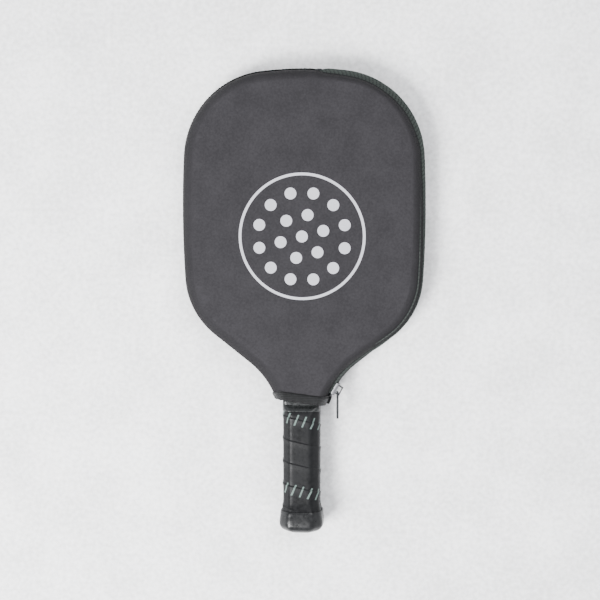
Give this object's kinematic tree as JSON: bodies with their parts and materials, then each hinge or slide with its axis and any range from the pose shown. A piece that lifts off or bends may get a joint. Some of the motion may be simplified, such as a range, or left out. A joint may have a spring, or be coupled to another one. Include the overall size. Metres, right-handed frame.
{
  "type": "paddle case",
  "caption": "Fitted zipped neoprene cover closed over a court paddle: one sewn side, one zipped side with a folding front flap, slider and pull, and a bound mouth round the wrapped handle.",
  "frame": {"origin": "middle of the closed cover and paddle's box, on the surface they lie on", "axes": "+Y along the paddle to the top of the head, +X to the zip side, +Z out of the front panel"},
  "size_m": [0.2153, 0.4142, 0.0345],
  "materials": {
    "neoprene": "dark charcoal knit laminated to neoprene foam, soft matt",
    "lining": "black brushed nylon lining, matt",
    "binding": "black knitted elastic binding, matt",
    "zip_tape": "woven polyester zip tape, greenish dark grey",
    "zip_coil": "black nylon coil",
    "slider_metal": "bright nickel plate on zinc",
    "pull_metal": "dark gunmetal plate",
    "print_film": "light grey heat-pressed film",
    "core": "polypropylene honeycomb",
    "paddle_face": "carbon-fibre face, satin",
    "edge_guard": "black moulded edge guard",
    "foam": "rigid foam handle pallet",
    "grip": "black cushioned polyurethane wrap, semi-gloss",
    "grip_tape": "black vinyl finishing tape",
    "butt_plastic": "black wrapped butt cap, semi-gloss"
  },
  "bodies": {
    "case": {"back_panel": "neoprene", "back_lining": "lining", "front_panel_fixed": "neoprene", "front_lining_fixed": "lining", "seam_tape": "binding", "mouth_binding_back": "binding", "zip_tape_back": "zip_tape", "zip_coil_back": "zip_coil", "zip_end_stop": "slider_metal", "zip_top_stop_back": "slider_metal", "front_mark_fixed": "print_film"},
    "flap": {"front_panel_flap": "neoprene", "front_lining_flap": "lining", "mouth_binding_front": "binding", "zip_tape_front": "zip_tape", "zip_coil_front": "zip_coil", "zip_top_stop_front": "slider_metal", "front_mark_flap": "print_film"},
    "slider": {"slider_body": "slider_metal", "slider_crown": "slider_metal"},
    "pull": {"pull_tab": "pull_metal"},
    "paddle": {"paddle_core": "core", "paddle_face_front": "paddle_face", "paddle_face_back": "paddle_face", "edge_guard": "edge_guard", "handle_pallet_front": "foam", "handle_pallet_back": "foam", "grip_wrap": "grip", "finishing_tape": "grip_tape", "butt_cap": "butt_plastic"}
  },
  "joints": [
    {"name": "flap_fold", "type": "hinge", "parent": "case", "child": "flap", "pos_m": [0.0122, 0.2071, 0.03115], "axis": [-0.0885, -0.9961, 0], "range_deg": [0, 120], "deforming": ["zip_tape_front", "zip_coil_front"]},
    {"name": "slider_travel", "type": "hinge", "parent": "case", "child": "slider", "pos_m": [0.09228, -0.11015, 0.01725], "axis": [0, 0, -1], "range_deg": [0, 18]},
    {"name": "pull_swing", "type": "hinge", "parent": "slider", "child": "pull", "pos_m": [0.03082, -0.07922, 0.01725], "axis": [0.2079, 0, 0.9781], "range_deg": [0, 90]},
    {"name": "paddle_play", "type": "slide", "parent": "case", "child": "paddle", "axis": [0, -1, 0], "range_m": [0, 0.0016]}
  ]
}
